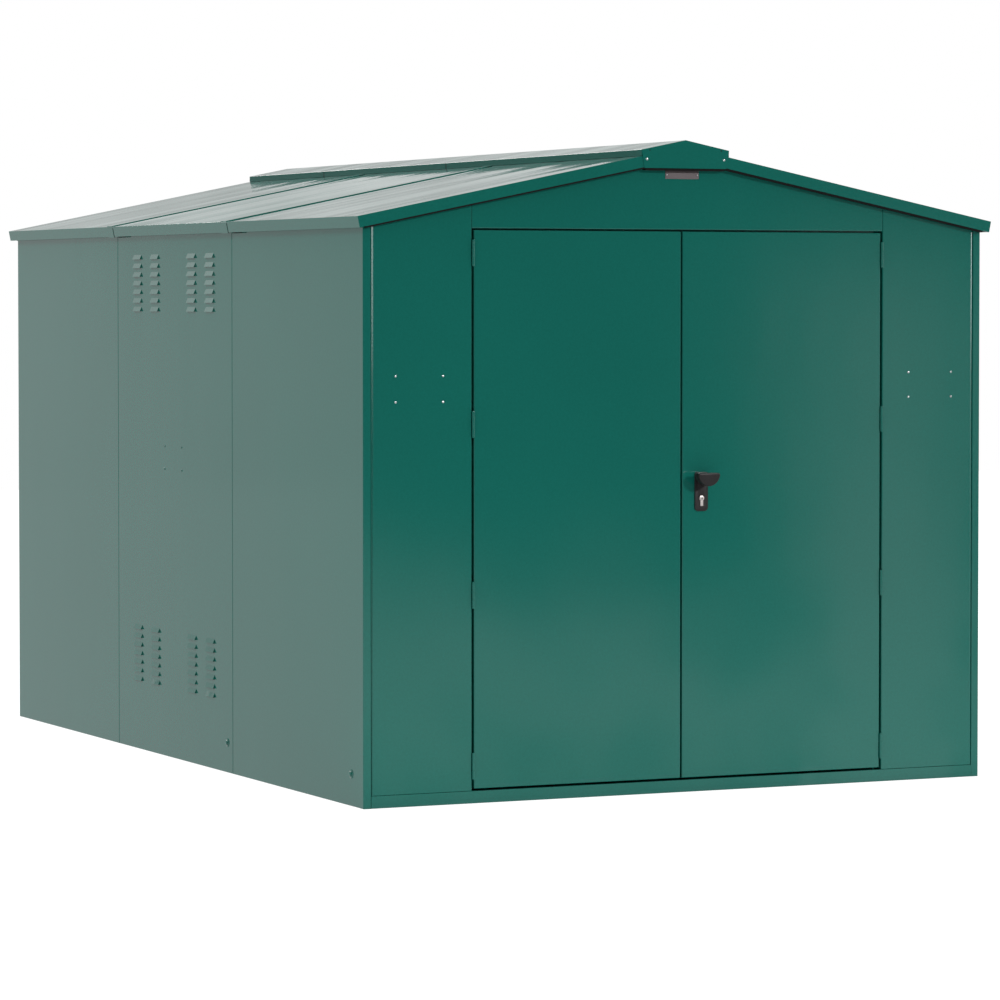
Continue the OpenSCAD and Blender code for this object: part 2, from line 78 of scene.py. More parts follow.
# Hot-dip galvanised sheet: a dull, cool grey metal with crystals 10 to 20 mm
# across, each a little lighter or duller than the next.
galvanised, tree = new_material("galvanised_steel")
at = add(tree, "ShaderNodeTexCoord").outputs["Object"]
crystals = add(tree, "ShaderNodeTexVoronoi", {"Vector": at, "Scale": 70.0, "Randomness": 1.0})
crystal_shade = add(tree, "ShaderNodeSeparateColor", {0: crystals.outputs["Color"]}).outputs[0]
clouds = add(tree, "ShaderNodeTexNoise", {"Vector": at, "Scale": 6.0, "Detail": 4.0}).outputs["Fac"]
tint = add(tree, "ShaderNodeMix", {0: crystal_shade, 6: linear("#9BA0A2"), 7: linear("#BCC0C1")},
           data_type="RGBA").outputs[2]
tint = add(tree, "ShaderNodeMix", {0: clouds, 6: tint, 7: linear("#A5A9AA")}, data_type="RGBA").outputs[2]
dull = add(tree, "ShaderNodeMapRange", {0: crystal_shade, 3: 0.38, 4: 0.55}).outputs[0]
relief = add(tree, "ShaderNodeBump", {"Strength": 1.0, "Distance": 0.00004,
                                      "Height": crystal_shade}).outputs[0]
zinc = add(tree, "ShaderNodeBsdfPrincipled", {"Base Color": tint, "Metallic": 1.0, "Roughness": dull,
                                              "Normal": relief})
add(tree, "ShaderNodeOutputMaterial", {0: zinc.outputs[0]})


def cad_copy(name):
    """The CAD piece's mesh to work on, with its loose triangles made whole faces."""
    bm = bmesh.new()
    bm.from_mesh(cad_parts[name].data)
    bmesh.ops.remove_doubles(bm, verts=bm.verts, dist=0.00001)
    bmesh.ops.dissolve_limit(bm, angle_limit=math.radians(0.6), verts=bm.verts, edges=bm.edges)
    return bm


def face_width(face):
    """How wide a long thin face is."""
    return 2 * face.calc_area() / face.calc_perimeter()


def is_fold(edge, sheet=0.0035, shortest=0.1):
    """True for a long outward fold between two broad faces, and not for a cut edge of the sheet."""
    return (len(edge.link_faces) == 2 and edge.is_convex and edge.calc_length() > shortest
            and edge.calc_face_angle() > math.radians(35)
            and all(face_width(f) > sheet for f in edge.link_faces))


def roll(bm, edges, radius, steps=3):
    """Rolls sharp edges to a radius, as a press brake leaves them."""
    bmesh.ops.bevel(bm, geom=list(edges), offset=radius, segments=steps, profile=0.5,
                    affect="EDGES", offset_type="OFFSET", material=-1, clamp_overlap=False)


def finish_piece(bm, name, body, material, stands_for=(), smooth=None):
    """Makes the piece from its mesh, gives it its finish and its body, and hides the CAD nodes it stands for.
    """
    mesh = bpy.data.meshes.new(name)
    if smooth is not None:
        for face in bm.faces:
            face.smooth = True
        for edge in bm.edges:
            edge.smooth = len(edge.link_faces) == 2 and edge.calc_face_angle(0) < math.radians(smooth)
    bm.to_mesh(mesh)
    bm.free()
    piece = bpy.data.objects.new(name, mesh)
    bpy.context.scene.collection.objects.link(piece)
    mesh.materials.append(material)
    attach(piece, body)
    if stands_for:
        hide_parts(*stands_for)
    return piece


for node in ("floor_front", "floor_middle", "floor_rear"):
    bm = cad_copy(node)
    roll(bm, [e for e in bm.edges if is_fold(e)], 0.002)
    finish_piece(bm, node + "_tray", "shell", galvanised, [node])


# ----------------------------------------------------------------- base rails
# The base rails are folded from the walls' steel, coated green, and run across
# the front and rear, with the walls standing on them.

# Powder coat on steel, baked: a hard polyester skin with a fair gloss. Its fine
# orange peel breaks up the edge of a reflection, and the thin sheet under it bows.
def powder_coat(name, bow, bow_height, colour="#105D53", roughness=0.085, lying=False):
    """The green coat. bow is how often the sheet's bowing repeats per metre along x, y and z,
    and lying keeps it to the sheet's top, off the flanges that stiffen it."""
    material, tree = new_material(name)
    at = add(tree, "ShaderNodeTexCoord").outputs["Object"]
    cloudy = add(tree, "ShaderNodeTexNoise", {"Vector": at, "Scale": 1.6, "Detail": 3.0}).outputs["Fac"]
    specks = add(tree, "ShaderNodeTexNoise", {"Vector": at, "Scale": 120.0, "Detail": 3.0,
                                              "Roughness": 0.8}).outputs["Fac"]
    shade = add(tree, "ShaderNodeMapRange", {0: cloudy, 1: 0.3, 2: 0.7, 3: 0.975, 4: 1.025}).outputs[0]
    grain = add(tree, "ShaderNodeMapRange", {0: specks, 1: 0.25, 2: 0.75, 3: 0.90, 4: 1.10}).outputs[0]
    shade = add(tree, "ShaderNodeMath", {0: shade, 1: grain}, operation="MULTIPLY").outputs[0]
    tint = add(tree, "ShaderNodeHueSaturation", {"Value": shade, "Color": linear(colour)}).outputs[0]
    # Real orange peel repeats every 1 to 3 mm: it is drawn at 6 to 8 mm, so that it shows.
    peel = add(tree, "ShaderNodeTexNoise", {"Vector": at, "Scale": 150.0, "Detail": 1.0,
                                            "Roughness": 0.6}).outputs["Fac"]
    relief = add(tree, "ShaderNodeBump", {"Strength": 1.0, "Distance": 0.00006, "Height": peel}).outputs[0]
    place = add(tree, "ShaderNodeMapping", {"Vector": at, "Scale": bow}).outputs[0]
    bowed = add(tree, "ShaderNodeTexNoise", {"Vector": place, "Scale": 1.0, "Detail": 2.0,
                                             "Roughness": 0.4}).outputs["Fac"]
    if lying:
        facing = add(tree, "ShaderNodeNewGeometry").outputs["True Normal"]
        facing = add(tree, "ShaderNodeSeparateXYZ", {0: facing}).outputs[2]
        flat = add(tree, "ShaderNodeMapRange", {0: facing, 1: 0.4, 2: 0.9, 3: 0.05, 4: 1.0}).outputs[0]
        bowed = add(tree, "ShaderNodeMath", {0: bowed, 1: flat}, operation="MULTIPLY").outputs[0]
    relief = add(tree, "ShaderNodeBump", {"Strength": 1.0, "Distance": bow_height, "Height": bowed,
                                          "Normal": relief}).outputs[0]
    gloss = add(tree, "ShaderNodeMapRange", {0: specks, 3: roughness - 0.02, 4: roughness + 0.02}).outputs[0]
    coat = add(tree, "ShaderNodeBsdfPrincipled", {"Base Color": tint, "Roughness": gloss, "IOR": 1.5,
                                                  "Normal": relief})
    add(tree, "ShaderNodeOutputMaterial", {0: coat.outputs[0]})
    return material


wall_coat = powder_coat("green_powder_coat_walls", (2.6, 2.6, 0.5), 0.0011)

for node in ("base_front", "base_rear"):
    bm = cad_copy(node)
    roll(bm, [e for e in bm.edges if is_fold(e) and e.verts[0].co.z < 0.02], 0.0015)
    finish_piece(bm, node + "_rail", "shell", wall_coat, [node])


# ----------------------------------------------------------------- side walls
# Each side is three folded panels of green-coated steel, bolted to the floor
# trays. The corner bays fold round onto the front and rear, and the middle bays
# are pierced and pressed out into louvres.

def hood_edge(edge):
    """True for the pressed corner between a louvre's slope and its closed end."""
    return (0.015 < edge.calc_length() < 0.020 and edge.is_convex
            and max(abs(v.co.x) for v in edge.verts) > HALF_W + 0.0065)


for side in ("left", "right"):
    for bay in ("front", "middle", "rear"):
        node = f"side_{side}_{bay}"
        bm = cad_copy(node)
        roll(bm, [e for e in bm.edges if is_fold(e)], 0.0025)
        roll(bm, [e for e in bm.edges if hood_edge(e)], 0.0018)
        finish_piece(bm, node + "_sheet", "shell", wall_coat, [node])


def turned(outline, steps=20):
    """A round piece turned from its outline, given as pairs of radius and height."""
    bm = bmesh.new()
    line = [bm.verts.new((radius, 0.0, height)) for radius, height in outline]
    sides = [bm.edges.new(pair) for pair in zip(line, line[1:])]
    bmesh.ops.spin(bm, geom=line + sides, cent=(0, 0, 0), axis=(0, 0, 1), dvec=(0, 0, 0),
                   angle=math.tau, steps=steps, use_merge=True)
    bmesh.ops.remove_doubles(bm, verts=bm.verts, dist=0.000001)
    bmesh.ops.recalc_face_normals(bm, faces=bm.faces)
    return bm


def copies(one, places):
    """The same small piece at each of several places."""
    mesh = bpy.data.meshes.new("one")
    one.to_mesh(mesh)
    one.free()
    many = bmesh.new()
    for place in places:
        start = len(many.verts)
        many.from_mesh(mesh)
        many.verts.ensure_lookup_table()
        bmesh.ops.transform(many, matrix=place, verts=many.verts[start:])
    bpy.data.meshes.remove(mesh)
    return many


TO_FRONT = Matrix.Rotation(math.radians(90), 4, "X")
TO_LEFT = Matrix.Rotation(math.radians(-90), 4, "Y")
TO_RIGHT = Matrix.Rotation(math.radians(90), 4, "Y")

# Coach bolts through the foot of the wall, each with a 30 mm washer, and four
# pan-head screws for a shelf bracket, all coated with the panel.
bolt = ((0, 0), (0.015, 0), (0.015, 0.0008), (0.0142, 0.0014), (0.0092, 0.0016), (0.0088, 0.0030),
        (0.0076, 0.0046), (0.0054, 0.0059), (0.0028, 0.0066), (0, 0.0068))
pan_head = ((0, 0), (0.0038, 0), (0.0038, 0.0006), (0.0033, 0.0014), (0.0022, 0.0020), (0, 0.0022))
for side, out, turn in (("left", -1, TO_LEFT), ("right", 1, TO_RIGHT)):
    bm = copies(turned(bolt), [Matrix.Translation((out * HALF_W, y, z)) @ turn
                               for y, z in ((-1.546, 0.1), (-0.499, 0.1))])
    finish_piece(bm, f"side_{side}_bolts", "shell", wall_coat, smooth=40)
    bm = copies(turned(pan_head, 12), [Matrix.Translation((out * HALF_W, y, z)) @ turn
                                       for y in (-0.079, 0.084) for z in (0.9867, 1.0655)])
    finish_piece(bm, f"side_{side}_screws", "shell", wall_coat, smooth=40)


# ------------------------------------------------------- front and rear walls
# A panel stands each side of the doorway and a gabled header sits over it, all
# folded from the same coated sheet. The rear is three panels to the same height.

for node in ("front_panel_left", "front_panel_right", "front_header",
             "rear_panel_left", "rear_panel_centre", "rear_panel_right"):
    bm = cad_copy(node)
    roll(bm, [e for e in bm.edges if is_fold(e)], 0.0025)
    finish_piece(bm, node + "_sheet", "shell", wall_coat, [node])

# Bright zinc plate over steel: pan-head screws through each front panel.
bright_zinc, tree = new_material("bright_zinc_plate")
at = add(tree, "ShaderNodeTexCoord").outputs["Object"]
rub = add(tree, "ShaderNodeTexNoise", {"Vector": at, "Scale": 400.0, "Detail": 3.0}).outputs["Fac"]
tint = add(tree, "ShaderNodeMix", {0: rub, 6: linear("#C9CCCE"), 7: linear("#E4E6E7")},
           data_type="RGBA").outputs[2]
gloss = add(tree, "ShaderNodeMapRange", {0: rub, 3: 0.22, 4: 0.38}).outputs[0]
metal = add(tree, "ShaderNodeBsdfPrincipled", {"Base Color": tint, "Metallic": 1.0, "Roughness": gloss})
add(tree, "ShaderNodeOutputMaterial", {0: metal.outputs[0]})

for side, out in (("left", -1), ("right", 1)):
    bm = copies(turned(pan_head, 12), [Matrix.Translation((out * x, FRONT, z)) @ TO_FRONT
                                       for x in (0.8305, 0.991) for z in (1.2515, 1.332)])
    finish_piece(bm, f"front_{side}_screws", "shell", bright_zinc, smooth=40)


# --------------------------------------------------------- doorway's frame
# Two posts and a head rail stand behind the leaves and stop them. They are open
# channels folded from the walls' coated sheet, fixed behind the front panels.

for node in ("door_post_left", "door_post_right", "door_head_rail"):
    bm = cad_copy(node)
    roll(bm, [e for e in bm.edges if is_fold(e)], 0.002)
    finish_piece(bm, node + "_channel", "shell", wall_coat, [node])


# ----------------------------------------------------------------------- roof
# Three folded bays a side, lapped at the seams, with a deep flange folded down
# at the eave and at the front and rear verges.

roof_coat = powder_coat("green_powder_coat_roof", (0.5, 4.2, 0.5), 0.0056, lying=True)

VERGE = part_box("roof_left_front")[0].y


def at_rim(edge):
    """True for a fold along the eave or a verge, where the bay's skin turns down."""
    a, b = (v.co for v in edge.verts)
    along_eave = abs(a.x - b.x) < 0.001 and abs(a.x) > 1.12
    along_verge = abs(a.y - b.y) < 0.001 and abs(a.y) > abs(VERGE) - 0.001
    return (along_eave or along_verge) and max(a.z, b.z) > 1.82


for side in ("left", "right"):
    for bay in ("front", "middle", "rear"):
        node = f"roof_{side}_{bay}"
        bm = cad_copy(node)
        roll(bm, [e for e in bm.edges if is_fold(e, 0.01) and at_rim(e)], 0.001)
        finish_piece(bm, node + "_sheet", "shell", roof_coat, [node])


def bar(low, high, radius):
    """A straight bar between two corners, with its edges eased."""
    bm = bmesh.new()
    bmesh.ops.create_cube(bm, size=1.0)
    low, high = Vector(low), Vector(high)
    bmesh.ops.scale(bm, vec=high - low, verts=bm.verts)
    bmesh.ops.translate(bm, vec=(low + high) / 2, verts=bm.verts)
    bmesh.ops.bevel(bm, geom=list(bm.edges), offset=radius, segments=2, profile=0.5,
                    affect="EDGES", material=-1)
    return bm


def joined(parts):
    """Several meshes made into one."""
    mesh = bpy.data.meshes.new("part")
    whole = bmesh.new()
    for part in parts:
        part.to_mesh(mesh)
        part.free()
        whole.from_mesh(mesh)
    bpy.data.meshes.remove(mesh)
    return whole


EAVE_X, EAVE_Z = 1.1275, 1.8235         # the skin's outer edge at the eave
PITCH = math.radians(11.4)


def on_slope(out, along, up, y, ease=0.0005):
    """A bar laid to the slope. along runs up it from the eave and up stands square off its skin."""
    low, high = sorted((-out * along[0], -out * along[1]))
    bm = bar((low, y[0], up[0]), (high, y[1], up[1]), ease)
    place = Matrix.Translation((out * EAVE_X, 0, EAVE_Z)) @ Matrix.Rotation(out * PITCH, 4, "Y")
    bmesh.ops.transform(bm, matrix=place, verts=bm.verts)
    return bm


# Closed-cell rubber foam, black and dead matt: the draught seals and the edge clips.
# Its black is also painted shade, standing for the shade in the gaps, joints, holes and keyway it covers.
black_foam_and_painted_shade, tree = new_material("black_rubber_and_painted_shade")
at = add(tree, "ShaderNodeTexCoord").outputs["Object"]
cells = add(tree, "ShaderNodeTexVoronoi", {"Vector": at, "Scale": 900.0}).outputs["Distance"]
tint = add(tree, "ShaderNodeMix", {0: cells, 6: linear("#0B0B0B"), 7: linear("#191919")},
           data_type="RGBA").outputs[2]
relief = add(tree, "ShaderNodeBump", {"Strength": 1.0, "Distance": 0.0002, "Height": cells}).outputs[0]
rubber = add(tree, "ShaderNodeBsdfPrincipled", {"Base Color": tint, "Roughness": 0.9, "IOR": 1.5,
                                                "Specular IOR Level": 0.2, "Normal": relief})
add(tree, "ShaderNodeOutputMaterial", {0: rubber.outputs[0]})

# At each seam the rear bay's edge is stepped up over the next bay and turned down the eave with it. A black
# line in the joint, drawn as mastic, stands for its shadow gap, and a clip grips the lip beside it, drawn
# black for the shade under the flange: both are painted shade.
LAP_W = 0.058                           # how far one bay laps over the next
for side, out in (("left", -1), ("right", 1)):
    for seam, y in (("front", -0.567), ("rear", 0.527)):
        lap = joined([on_slope(out, (0.0008, 0.984), (-0.0012, 0.0027), (y, y + LAP_W), 0.0014),
                      on_slope(out, (-0.0008, 0.002), (-0.0385, -0.0055), (y + 0.001, y + LAP_W))])
        finish_piece(lap, f"roof_{side}_lap_{seam}", "shell", roof_coat)
        line = on_slope(out, (-0.0003, 0.002), (-0.0375, -0.0055), (y - 0.0035, y + 0.0012))
        finish_piece(line, f"roof_{side}_mastic_{seam}", "shell", black_foam_and_painted_shade)
        painted_shade_clip = on_slope(out, (0.0085, 0.0165), (-0.0400, -0.0355), (y - 0.085, y - 0.010))
        finish_piece(painted_shade_clip, f"roof_{side}_clip_{seam}", "shell", black_foam_and_painted_shade)

# Foam strips close the gap between the verge flanges and the walls' faces. They are drawn black so that
# they also stand for the gap's deep shade: painted shade.
for end, y in (("front", (FRONT - 0.0222, FRONT - 0.0004)), ("rear", (-FRONT + 0.0004, -FRONT + 0.0222))):
    seals_and_painted_shade = [on_slope(out, (0.024, 1.0015), (-0.0412, -0.0205), y) for out in (-1, 1)]
    seals_and_painted_shade.append(bar((-0.141, y[0], 1.9755), (0.141, y[1], 1.9845), 0.0004))
    finish_piece(joined(seals_and_painted_shade), f"verge_seal_and_painted_shade_{end}", "shell", black_foam_and_painted_shade)


# ---------------------------------------------------------------------- ridge
# A galvanised beam carries the bays at the ridge. A folded cap in three lengths
# covers the gap, and a plate riveted on at each end closes it.

bm = cad_copy("ridge_beam")
roll(bm, [e for e in bm.edges if is_fold(e)], 0.002)
finish_piece(bm, "ridge_beam_channel", "shell", galvanised, ["ridge_beam"])

for node in ("ridge_cap_front", "ridge_cap_middle", "ridge_cap_rear"):
    bm = cad_copy(node)
    roll(bm, [e for e in bm.edges if is_fold(e)], 0.0008)
    finish_piece(bm, node + "_sheet", "shell", roof_coat, [node])

for node in ("ridge_end_front", "ridge_end_rear"):
    bm = cad_copy(node)
    finish_piece(bm, node + "_plate", "shell", roof_coat, [node])

# A bead of dark mastic where one length of cap meets the next stands for the shade in the lap joint: painted
# shade.
cap_low, cap_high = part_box("ridge_cap_middle")
CAP_LIP_X = 0.1546                      # the face of the cap's turned-down edge
for seam, y in (("front", cap_low.y), ("rear", cap_high.y)):
    painted_shade_beads = [bar((out * CAP_LIP_X - 0.0012, y - 0.003, cap_low.z + 0.0005),
                 (out * CAP_LIP_X + 0.0012, y + 0.003, 2.0385), 0.0002) for out in (-1, 1)]
    finish_piece(joined(painted_shade_beads), f"ridge_cap_mastic_{seam}", "shell", black_foam_and_painted_shade)

blind_rivet = ((0, 0), (0.0042, 0), (0.0042, 0.0004), (0.0036, 0.0013), (0.0024, 0.0020), (0.0012, 0.0022),
               (0.0010, 0.0016), (0, 0.0016))
END_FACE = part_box("ridge_end_front")[0].y
bm = copies(turned(blind_rivet, 16), [Matrix.Translation((x, END_FACE, 2.0105)) @ TO_FRONT
                                      for x in (-0.137, 0.137)])
finish_piece(bm, "ridge_end_rivets", "shell", bright_zinc, smooth=40)
# The drain holes are thin dark discs laid on the plate, their black painted shade standing for the shade
# inside the holes.
spot = turned(((0, 0), (0.0024, 0), (0.0024, 0.0003), (0, 0.0003)), 12)
bm = copies(spot, [Matrix.Translation((x, END_FACE + 0.0001, 2.039)) @ TO_FRONT for x in (-0.127, 0.127)])
finish_piece(bm, "ridge_end_drain_holes_painted_shade", "shell", black_foam_and_painted_shade)


# ------------------------------------------------------------------ nameplate
# A small dark plate of anodised aluminium under the ridge, left blank. A small
# rivet at each end holds it.

plate_finish, tree = new_material("dark_anodised_aluminium")
at = add(tree, "ShaderNodeTexCoord").outputs["Object"]
grain = add(tree, "ShaderNodeTexNoise", {"Vector": add(tree, "ShaderNodeMapping", {
    "Vector": at, "Scale": (20.0, 1.0, 900.0)}).outputs[0], "Scale": 1.0, "Detail": 2.0}).outputs["Fac"]
tint = add(tree, "ShaderNodeMix", {0: grain, 6: linear("#484143"), 7: linear("#585052")},
           data_type="RGBA").outputs[2]
plate = add(tree, "ShaderNodeBsdfPrincipled", {"Base Color": tint, "Metallic": 0.3, "Roughness": 0.4})
add(tree, "ShaderNodeOutputMaterial", {0: plate.outputs[0]})

bm = cad_copy("nameplate")
roll(bm, [e for e in bm.edges if e.calc_face_angle(0) > 0.6], 0.0004, 2)
finish_piece(bm, "blank_nameplate", "shell", plate_finish, ["nameplate"])

low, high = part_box("nameplate")
small_rivet = [(radius * 0.5, height * 0.5) for radius, height in blind_rivet]
bm = copies(turned(small_rivet, 12), [Matrix.Translation((x, low.y, (low.z + high.z) / 2)) @ TO_FRONT
                                      for x in (low.x + 0.005, high.x - 0.005)])
finish_piece(bm, "nameplate_rivets", "shell", bright_zinc, smooth=40)


# ---------------------------------------------------------------------- doors
# Two flush leaves, each a tray of the same coated sheet, folded back all round.
# They meet in the middle of the doorway with a narrow gap between them.

door_coat = powder_coat("green_powder_coat_doors", (2.2, 2.2, 1.2), 0.0011)

for side in ("left", "right"):
    node = "door_" + side
    bm = cad_copy(node)
    roll(bm, [e for e in bm.edges if is_fold(e)], 0.0025)
    finish_piece(bm, node + "_leaf", side + "_leaf", door_coat, [node])


# --------------------------------------------------------------------- hinges
# Four steel knuckle hinges a door, welded to the leaf and to the panel beside it
# and coated with them.

hinge_coat = powder_coat("green_powder_coat_hinges", (3.0, 3.0, 3.0), 0.0001, roughness=0.14)

for side in ("left", "right"):
    for half, body in (("frame", "shell"), ("door", side + "_leaf")):
        node = f"hinge_{half}_{side}"
        bm = cad_copy(node)
        finish_piece(bm, node + "_knuckles", body, hinge_coat, [node], smooth=35)

# The pins are headed over at both ends of each barrel, and coated with it.
pin_head = ((0, 0), (0.0042, 0), (0.0042, 0.0008), (0.0036, 0.0017), (0.0022, 0.0024), (0, 0.0027))
PIN_X, PIN_Y = 0.729, FRONT - 0.0035
HALF_BARREL = 0.0395
UPSIDE_DOWN = Matrix.Rotation(math.pi, 4, "X")
for side, out in (("left", -1), ("right", 1)):
    ends = []
    for z in (0.117, 0.649, 1.181, 1.7125):
        ends.append(Matrix.Translation((out * PIN_X, PIN_Y, z + HALF_BARREL)))
        ends.append(Matrix.Translation((out * PIN_X, PIN_Y, z - HALF_BARREL)) @ UPSIDE_DOWN)
    finish_piece(copies(turned(pin_head, 16), ends), f"hinge_pins_{side}", "shell", hinge_coat,
                 smooth=40)


# ----------------------------------------------------------------------- lock
# A zinc casting coated satin black, on the right leaf, carries a euro cylinder
# plated in satin nickel and a D-shaped handle. The lock's case is behind it.

satin_black, tree = new_material("satin_black_zinc_casting")
at = add(tree, "ShaderNodeTexCoord").outputs["Object"]
grit = add(tree, "ShaderNodeTexNoise", {"Vector": at, "Scale": 900.0, "Detail": 2.0}).outputs["Fac"]
tint = add(tree, "ShaderNodeMix", {0: grit, 6: linear("#181718"), 7: linear("#211F20")},
           data_type="RGBA").outputs[2]
relief = add(tree, "ShaderNodeBump", {"Strength": 1.0, "Distance": 0.00004, "Height": grit}).outputs[0]
black = add(tree, "ShaderNodeBsdfPrincipled", {"Base Color": tint, "Roughness": 0.38, "IOR": 1.5,
                                               "Specular IOR Level": 0.28, "Normal": relief})
add(tree, "ShaderNodeOutputMaterial", {0: black.outputs[0]})

nickel, tree = new_material("satin_nickel_plate")
at = add(tree, "ShaderNodeTexCoord").outputs["Object"]
rub = add(tree, "ShaderNodeTexNoise", {"Vector": at, "Scale": 300.0, "Detail": 3.0}).outputs["Fac"]
gloss = add(tree, "ShaderNodeMapRange", {0: rub, 3: 0.28, 4: 0.38}).outputs[0]
tint = add(tree, "ShaderNodeMix", {0: rub, 6: linear("#CFC8C5"), 7: linear("#DDD6D3")},
           data_type="RGBA").outputs[2]
metal = add(tree, "ShaderNodeBsdfPrincipled", {"Base Color": tint, "Metallic": 1.0, "Roughness": gloss})
add(tree, "ShaderNodeOutputMaterial", {0: metal.outputs[0]})

for node, body, slot, finish, radius in (
        ("lock_plate", "right_leaf", "lock_black", satin_black, 0.0012),
        ("lock_case", "right_leaf", "galvanised", galvanised, 0.001),
        ("lock_cylinder", "right_leaf", "lock_chrome", nickel, 0.0008),
        ("door_handle", "handle", "lock_black", satin_black, 0.0025)):
    bm = cad_copy(node)
    if node == "door_handle":
        top = [e for e in bm.edges if abs(e.verts[0].co.y - e.verts[1].co.y) > 0.015 and e.is_convex
               and min(v.co.z for v in e.verts) > 1.012 and e.calc_face_angle(0) > math.radians(50)]
        roll(bm, top, 0.007, 6)
    roll(bm, [e for e in bm.edges if e.is_convex and e.calc_face_angle(0) > math.radians(50)], radius, 3)
    finish_piece(bm, node + "_part", body, finish, [node], smooth=35)

# The cylinder's plug stands a little proud, and its keyway is a dark slot with a round top, laid on the plug
# as a black disc and bar: painted shade for the slot's dark inside.
KEY_X, KEY_Y, KEY_Z = 0.0695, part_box("lock_cylinder")[0].y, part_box("lock_cylinder")[1].z - 0.0085
plug = turned(((0, 0), (0.0068, 0), (0.0068, 0.0004), (0.0062, 0.0008), (0.0030, 0.0008), (0, 0.0008)), 24)
bm = copies(plug, [Matrix.Translation((KEY_X, KEY_Y, KEY_Z)) @ TO_FRONT])
finish_piece(bm, "lock_plug", "right_leaf", nickel, smooth=40)
hole = turned(((0, 0), (0.0029, 0), (0.0029, 0.0003), (0, 0.0003)), 16)
keyway_painted_shade = joined([copies(hole, [Matrix.Translation((KEY_X, KEY_Y - 0.0006, KEY_Z + 0.0008)) @ TO_FRONT]),
                 bar((KEY_X - 0.0014, KEY_Y - 0.0009, KEY_Z - 0.0052),
                     (KEY_X + 0.0014, KEY_Y - 0.0006, KEY_Z + 0.001), 0.0001)])
finish_piece(keyway_painted_shade, "lock_keyway", "right_leaf", black_foam_and_painted_shade)


# --------------------------------------------------- the ground and the light
# A plain white studio: a white floor and an even white surround, a soft key from
# the front right, and an unlit stretch of studio beyond the floor in front, which
# keeps the front's own colour deep where the coat would mirror white.

bm = bmesh.new()
bmesh.ops.create_grid(bm, x_segments=8, y_segments=8, size=20.0)
ground_mesh = bpy.data.meshes.new("studio_floor")
bm.to_mesh(ground_mesh)
bm.free()
ground = bpy.data.objects.new("studio_floor", ground_mesh)
bpy.context.scene.collection.objects.link(ground)


def front_glow(tree, across, up):
    """How bright the front of the studio is: the lit floor, and one bright strip out to the horizon.
    across and up are how far to the right and how far up one looks, for each step ahead."""
    spot = add(tree, "ShaderNodeCombineXYZ", {0: across, 1: up}).outputs[0]
    haze = add(tree, "ShaderNodeTexNoise", {"Vector": spot, "Scale": 55.0, "Detail": 2.0}).outputs["Color"]
    haze = add(tree, "ShaderNodeSeparateColor", {0: haze}).outputs
    drift = [add(tree, "ShaderNodeMapRange", {0: haze[i], 1: 0.2, 2: 0.8, 3: -0.015, 4: 0.015}).outputs[0]
             for i in (0, 1)]
    across = add(tree, "ShaderNodeMath", {0: across, 1: drift[0]}, operation="ADD").outputs[0]
    up = add(tree, "ShaderNodeMath", {0: up, 1: drift[1]}, operation="ADD").outputs[0]
    tilt = add(tree, "ShaderNodeMapRange", {0: across, 1: 0.42, 2: 0.56, 3: 0.0, 4: 0.024}).outputs[0]
    tilt = add(tree, "ShaderNodeMath", {0: up, 1: tilt}, operation="ADD").outputs[0]
    near = add(tree, "ShaderNodeMapRange", {0: tilt, 1: -0.042, 2: -0.090, 3: 0.0, 4: 1.0},
               interpolation_type="SMOOTHSTEP").outputs[0]
    left = add(tree, "ShaderNodeMapRange", {0: across, 1: 0.540, 2: 0.570, 3: 0.0, 4: 1.0},
               interpolation_type="SMOOTHSTEP").outputs[0]
    right = add(tree, "ShaderNodeMapRange", {0: across, 1: 0.592, 2: 0.624, 3: 1.0, 4: 0.0},
                interpolation_type="SMOOTHSTEP").outputs[0]
    low = add(tree, "ShaderNodeMapRange", {0: up, 1: 0.000, 2: 0.028, 3: 1.0, 4: 0.0},
              interpolation_type="SMOOTHSTEP").outputs[0]
    strip = add(tree, "ShaderNodeMath", {0: left, 1: right}, operation="MULTIPLY").outputs[0]
    strip = add(tree, "ShaderNodeMath", {0: strip, 1: low}, operation="MULTIPLY").outputs[0]
    # Painted shadow: the floor mirrored close under the walls is dimmed, as if the building shaded it.
    painted_floor_shadow = add(tree, "ShaderNodeMapRange", {0: up, 1: -0.105, 2: -0.127, 3: 0.86, 4: 0.56}).outputs[0]
    near = add(tree, "ShaderNodeMath", {0: near, 1: painted_floor_shadow}, operation="MULTIPLY").outputs[0]
    glow = add(tree, "ShaderNodeMath", {0: near, 1: strip}, operation="MAXIMUM").outputs[0]
    return add(tree, "ShaderNodeMapRange", {0: glow, 3: 0.03, 4: 0.98}).outputs[0]


# White floor paint. What the camera sees of it stays white but for a faint shadow. What the
# front wall mirrors of it is told from the viewer's own mirror image, which lies behind the wall.
MIRROR_X, MIRROR_Y, MIRROR_Z = -6.32, 10.54, 1.57
floor_paint, tree = new_material("white_studio_floor")
path = add(tree, "ShaderNodeLightPath").outputs
at = add(tree, "ShaderNodeSeparateXYZ", {0: add(tree, "ShaderNodeTexCoord").outputs["Object"]}).outputs
depth = add(tree, "ShaderNodeMath", {0: MIRROR_Y, 1: at[1]}, operation="SUBTRACT").outputs[0]
depth = add(tree, "ShaderNodeMath", {0: depth, 1: 0.5}, operation="MAXIMUM").outputs[0]
across = add(tree, "ShaderNodeMath", {0: at[0], 1: -MIRROR_X}, operation="ADD").outputs[0]
across = add(tree, "ShaderNodeMath", {0: across, 1: depth}, operation="DIVIDE").outputs[0]
up = add(tree, "ShaderNodeMath", {0: -MIRROR_Z, 1: depth}, operation="DIVIDE").outputs[0]
in_front = add(tree, "ShaderNodeMapRange", {0: at[1], 1: -1.7, 2: -1.6, 3: 1.0, 4: 0.0}).outputs[0]
